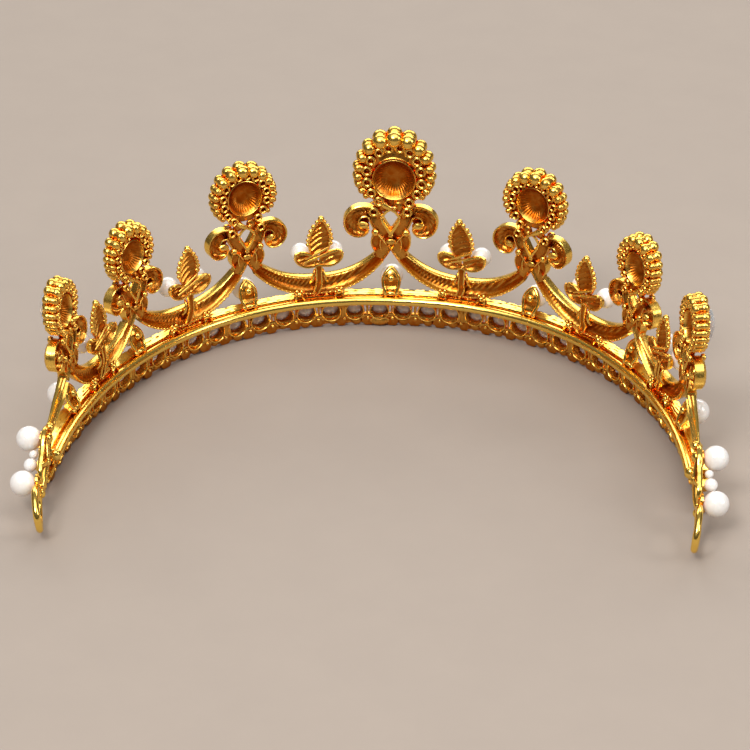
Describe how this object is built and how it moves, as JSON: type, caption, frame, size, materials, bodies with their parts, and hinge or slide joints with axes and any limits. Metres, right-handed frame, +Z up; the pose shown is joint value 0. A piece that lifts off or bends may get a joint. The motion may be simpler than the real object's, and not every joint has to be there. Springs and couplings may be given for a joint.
{
  "type": "pearl tiara",
  "caption": "Open-backed baroque tiara with oval medallions, scrolls, swags, leaf sprigs, pearls and a stone-set band ending in two loops.",
  "frame": {"origin": "middle of the footprint in X and Y, on the underside of the stone-set band", "axes": "+X to the wearer's left along the width, +Y towards the open back, +Z up; the front faces -Y"},
  "size_m": [0.1624, 0.1088, 0.0543],
  "materials": {
    "gold": "polished gold plating over cast metal, deeper orange in the recesses",
    "pearl": "pearl lacquer, soft sheen",
    "crystal": "clear faceted stone, polished"
  },
  "bodies": {
    "root": {"band_rail": "gold", "band_gallery": "gold", "band_stones": "crystal", "medallion_center": "gold", "medallion_stone_center": "crystal", "band_pearl_center": "pearl", "medallion_left_1": "gold", "medallion_stone_left_1": "crystal", "band_pearl_left_1": "pearl", "medallion_left_2": "gold", "medallion_stone_left_2": "crystal", "band_pearl_left_2": "pearl", "medallion_left_3": "gold", "medallion_stone_left_3": "crystal", "band_pearl_left_3": "pearl", "medallion_right_1": "gold", "medallion_stone_right_1": "crystal", "band_pearl_right_1": "pearl", "medallion_right_2": "gold", "medallion_stone_right_2": "crystal", "band_pearl_right_2": "pearl", "medallion_right_3": "gold", "medallion_stone_right_3": "crystal", "band_pearl_right_3": "pearl", "swag_left_1": "gold", "sprig_left_1": "gold", "sprig_pearl_left_1_inner": "pearl", "sprig_pearl_left_1_outer": "pearl", "swag_left_2": "gold", "sprig_left_2": "gold", "sprig_pearl_left_2_inner": "pearl", "sprig_pearl_left_2_outer": "pearl", "swag_left_3": "gold", "sprig_left_3": "gold", "sprig_pearl_left_3_inner": "pearl", "sprig_pearl_left_3_outer": "pearl", "end_swag_left": "gold", "end_loop_left": "gold", "end_pearl_left_upper": "pearl", "end_pearl_left_small": "pearl", "end_pearl_left_medium": "pearl", "end_pearl_left_lower": "pearl", "swag_right_1": "gold", "sprig_right_1": "gold", "sprig_pearl_right_1_inner": "pearl", "sprig_pearl_right_1_outer": "pearl", "swag_right_2": "gold", "sprig_right_2": "gold", "sprig_pearl_right_2_inner": "pearl", "sprig_pearl_right_2_outer": "pearl", "swag_right_3": "gold", "sprig_right_3": "gold", "sprig_pearl_right_3_inner": "pearl", "sprig_pearl_right_3_outer": "pearl", "end_swag_right": "gold", "end_loop_right": "gold", "end_pearl_right_upper": "pearl", "end_pearl_right_small": "pearl", "end_pearl_right_medium": "pearl", "end_pearl_right_lower": "pearl"}
  },
  "joints": []
}
